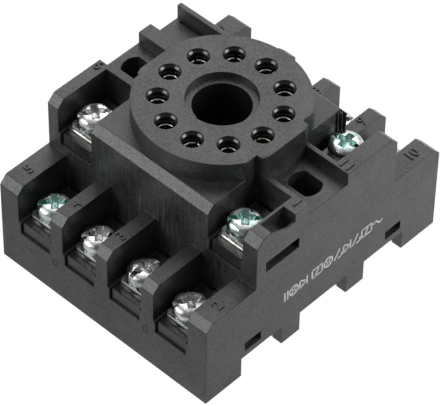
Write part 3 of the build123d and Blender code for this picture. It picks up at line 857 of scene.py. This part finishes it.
# %% Printed signs
PRINT_STROKE = 0.34 * mm
PRINT_PROUD = 0.004 * mm
PRINT_START = (-9.2 * mm, 9.5 * mm)
PRINT_TILT = math.radians(1.7)
SIGN_HEIGHT = 2.3 * mm
SIGN_GAP = 0.19
WIDE_GAP = 0.3
THIN_INK_MM = 0.4
THIN_INK_RANGE = (0.35, 0.65)


def print_ink(name):
    """White pad printing ink: matt, slightly grey where the plastic shows through."""
    material, tree = new_material(name)
    where = add(tree, "ShaderNodeTexCoord").outputs["Object"]
    thin = add(tree, "ShaderNodeTexNoise", {"Scale": 1 / (THIN_INK_MM * mm), "Detail": 3.0},
               {"Vector": where})
    colour = add(tree, "ShaderNodeMix", {"data_type": "RGBA", 6: linear("#c4c5c5"), 7: linear("#e9e9e7")},
                 {0: ranged(tree, thin.outputs["Fac"], *THIN_INK_RANGE)})
    shader = add(tree, "ShaderNodeBsdfPrincipled", {"Roughness": 0.55, "IOR": 1.5},
                 {"Base Color": colour.outputs[2]})
    add(tree, "ShaderNodeOutputMaterial", None, {"Surface": shader.outputs["BSDF"]})
    return material


def stroke(points, width):
    """Corners and faces of a band of even width along (along, up) points."""
    corners, faces = [], []
    for i, (a, b) in enumerate(points):
        before, after = points[max(i - 1, 0)], points[min(i + 1, len(points) - 1)]
        way = Vector((after[0] - before[0], after[1] - before[1])).normalized()
        side = Vector((-way.y, way.x)) * width / 2
        corners += [(a + side.x, b + side.y), (a - side.x, b - side.y)]
        if i:
            faces.append((2 * i - 2, 2 * i - 1, 2 * i + 1, 2 * i))
    return corners, faces


def bent(*points):
    """Straight strokes through corner points, one per side, so that no corner is thinned."""
    return [[points[i], points[i + 1]] for i in range(len(points) - 1)]


def arc(middle, radius, start, end, steps=12):
    """Points of an arc, with angles in degrees."""
    angles = [math.radians(start + (end - start) * i / steps) for i in range(steps + 1)]
    return [(middle[0] + radius * math.cos(a), middle[1] + radius * math.sin(a)) for a in angles]


def coil_sign():
    """A box with a slanted stroke: the coil of a relay. Sizes are shares of the height."""
    return 1.0, bent((0, 0.12), (1, 0.12), (1, 0.88), (0, 0.88), (0, 0.12)) + bent((0.3, 0.12), (0.7, 0.88))


def lamp_sign():
    """A ring with a cross in it."""
    cross = bent((0.14, 0.22), (0.7, 0.78)) + bent((0.14, 0.78), (0.7, 0.22))
    return 0.84, [arc((0.42, 0.5), 0.42, 0, 360, 24)] + cross


def diode_sign():
    """A triangle that points at a bar."""
    return 0.72, bent((0, 0.1), (0, 0.9), (0.62, 0.5), (0, 0.1)) + bent((0.7, 0.08), (0.7, 0.92))


def capacitor_sign():
    """Two bars side by side."""
    return 0.3, bent((0, 0.05), (0, 0.95)) + bent((0.3, 0.05), (0.3, 0.95))


def contact_sign():
    """An open arm over its fixed contact."""
    return 0.75, bent((0, 0.08), (0.55, 0.95)) + bent((0.35, 0.08), (0.75, 0.08), (0.75, 0.45))


def wave_sign():
    """One wave of alternating current."""
    return 0.9, [[(t / 12 * 0.9, 0.5 + 0.2 * math.sin(2 * math.pi * t / 12)) for t in range(13)]]


def spaced(row, gap, wide_gap):
    """Where each sign of the row starts, and its strokes. None stands for a wide gap."""
    start, placed = 0, []
    for sign in row:
        if sign is None:
            start += wide_gap
            continue
        width, strokes = sign
        placed.append((start, strokes))
        start += width + gap
    return placed


signs = spaced([capacitor_sign(), lamp_sign(), diode_sign(), None, coil_sign(), lamp_sign(), contact_sign(),
                diode_sign(), contact_sign(), coil_sign(), wave_sign()], SIGN_GAP, WIDE_GAP)
ink = print_ink("white_pad_print")
work = bmesh.new()
wall_x = cad_box[1][0]
cos_tilt, sin_tilt = math.cos(PRINT_TILT), math.sin(PRINT_TILT)
for start, strokes in signs:
    for points in strokes:
        line = [((start + a) * SIGN_HEIGHT, b * SIGN_HEIGHT) for a, b in points]
        corners, faces = stroke(line, PRINT_STROKE)
        made = []
        for along, up_wall in corners:
            y = PRINT_START[0] + along * cos_tilt - up_wall * sin_tilt
            z = PRINT_START[1] + along * sin_tilt + up_wall * cos_tilt
            made.append(work.verts.new((wall_x + PRINT_PROUD, y, z)))
        for face in faces:
            work.faces.new([made[i] for i in face])
bmesh.ops.recalc_face_normals(work, faces=work.faces)
sign_mesh = bpy.data.meshes.new("printed_signs")
work.to_mesh(sign_mesh)
work.free()
signs_piece = link_piece("printed_signs", sign_mesh, ink, "socket")
print_end = max(vertex.co.y for vertex in sign_mesh.vertices)
print("print from y", round(PRINT_START[0] / mm, 1), "to", round(print_end / mm, 1))

# %% [markdown]
# ## The floor and the light
# The photograph shows the socket on plain white. A white floor alone would have to be lit very hard to
# look white, and that light would flatten the dark plastic. So the floor and the world are white to the
# camera by themselves, while the lamps stay soft and plain. Reflections have levels of their own: the paper
# grows brighter towards the back right, so the two sides of the socket differ, and behind the camera the
# studio is dark, which the plated screws show as black patches between the lights.

# %% Floor, world and lamps
FLOOR_HALF = 1.5
FLOOR_GAP = 0.02 * mm
PAPER_GLOW_SHARE = 0.88
PAPER_WHITE = 1.1
BACK_RIGHT = (0.68, 0.73, 0)
BACK_RIGHT_RANGE = (-20 * mm, 40 * mm, 0.62, 1.1)
FRONT_RIGHT = (0.73, -0.68, 0)
FRONT_RIGHT_RANGE = (38 * mm, 60 * mm, 1.0, 0.25)
ROOM_LIGHT = 0.42
DARK_SIDE = (0.557, -0.6, 0.574)
DARK_SIDE_RANGE = (0.45, 0.85)
DARK_LEVEL = 0.16
LIGHT_LEVEL = 0.7
LAMP_DISTANCE = 0.7
LAMPS = [("softbox_back_left", (-0.467, 0.503, 0.728), 0.6, 1.65),
         ("softbox_front_left", (-0.467, -0.728, 0.503), 0.4, 2.3),
         ("softbox_back_right", (0.728, 0.503, 0.467), 0.35, 2.8)]
scene = bpy.context.scene
scene.view_settings.view_transform = "Standard"


def seen_directly(tree):
    """One where a camera, glossy or transmission ray asks, nought for diffuse light."""
    rays = add(tree, "ShaderNodeLightPath")
    first = add(tree, "ShaderNodeMath", {"operation": "MAXIMUM"},
                {0: rays.outputs["Is Camera Ray"], 1: rays.outputs["Is Glossy Ray"]})
    return add(tree, "ShaderNodeMath", {"operation": "MAXIMUM"},
               {0: first.outputs[0], 1: rays.outputs["Is Transmission Ray"]}).outputs[0]


paper, tree = new_material("white_paper_floor")
matt = add(tree, "ShaderNodeBsdfDiffuse", {"Color": linear("#c8c8c8")})
paper_place = add(tree, "ShaderNodeTexCoord").outputs["Object"]
towards_back = add(tree, "ShaderNodeVectorMath", {"operation": "DOT_PRODUCT", 1: BACK_RIGHT},
                   {0: paper_place})
towards_camera = add(tree, "ShaderNodeVectorMath", {"operation": "DOT_PRODUCT", 1: FRONT_RIGHT},
                     {0: paper_place})
mirrored_paper = add(tree, "ShaderNodeMath", {"operation": "MULTIPLY"},
                     {0: ranged(tree, towards_back.outputs["Value"], *BACK_RIGHT_RANGE),
                      1: ranged(tree, towards_camera.outputs["Value"], *FRONT_RIGHT_RANGE)}).outputs[0]
in_camera = add(tree, "ShaderNodeLightPath").outputs["Is Camera Ray"]
level = add(tree, "ShaderNodeMix", {"data_type": "FLOAT", 3: PAPER_WHITE}, {0: in_camera, 2: mirrored_paper})
shown = add(tree, "ShaderNodeMath", {"operation": "MULTIPLY"}, {0: seen_directly(tree), 1: level.outputs[0]})
glow = add(tree, "ShaderNodeEmission", {"Color": linear("#ffffff")}, {"Strength": shown.outputs[0]})
glow_part = add(tree, "ShaderNodeMixShader", {0: PAPER_GLOW_SHARE}, {1: matt.outputs[0], 2: glow.outputs[0]})
add(tree, "ShaderNodeOutputMaterial", None, {"Surface": glow_part.outputs[0]})
floor_mesh = mesh_from("floor", rectangle(FLOOR_HALF, FLOOR_HALF, 0), [(0, 1, 2, 3)])
floor = bpy.data.objects.new("floor", floor_mesh)
floor.data.materials.append(paper)
floor.location.z = cad_box[0][2] - FLOOR_GAP
scene.collection.objects.link(floor)

world = bpy.data.worlds.new("studio")
scene.world = world
world.use_nodes = True
tree = world.node_tree
tree.nodes.clear()
looking = add(tree, "ShaderNodeTexCoord").outputs["Generated"]
towards_dark = add(tree, "ShaderNodeVectorMath", {"operation": "DOT_PRODUCT", 1: DARK_SIDE}, {0: looking})
mirrored = ranged(tree, towards_dark.outputs["Value"], *DARK_SIDE_RANGE, LIGHT_LEVEL, DARK_LEVEL)
in_camera = add(tree, "ShaderNodeLightPath").outputs["Is Camera Ray"]
white_or_mirrored = add(tree, "ShaderNodeMath", {"operation": "MAXIMUM"}, {0: mirrored, 1: in_camera})
strength = add(tree, "ShaderNodeMix", {"data_type": "FLOAT", 2: ROOM_LIGHT},
               {0: seen_directly(tree), 3: white_or_mirrored.outputs["Value"]})
sky = add(tree, "ShaderNodeBackground", {"Color": linear("#ffffff")}, {"Strength": strength.outputs[0]})
add(tree, "ShaderNodeOutputWorld", None, {"Surface": sky.outputs[0]})


def softbox(name, direction, size, watts):
    """A square area lamp that looks at the socket from a direction."""
    lamp = bpy.data.lights.new(name, "AREA")
    lamp.size = size
    lamp.energy = watts
    holder = bpy.data.objects.new(name, lamp)
    towards = Vector(direction).normalized()
    holder.location = towards * LAMP_DISTANCE
    holder.rotation_euler = towards.to_track_quat("Z", "Y").to_euler()
    scene.collection.objects.link(holder)


for name, direction, size, watts in LAMPS:
    softbox(name, direction, size, watts)
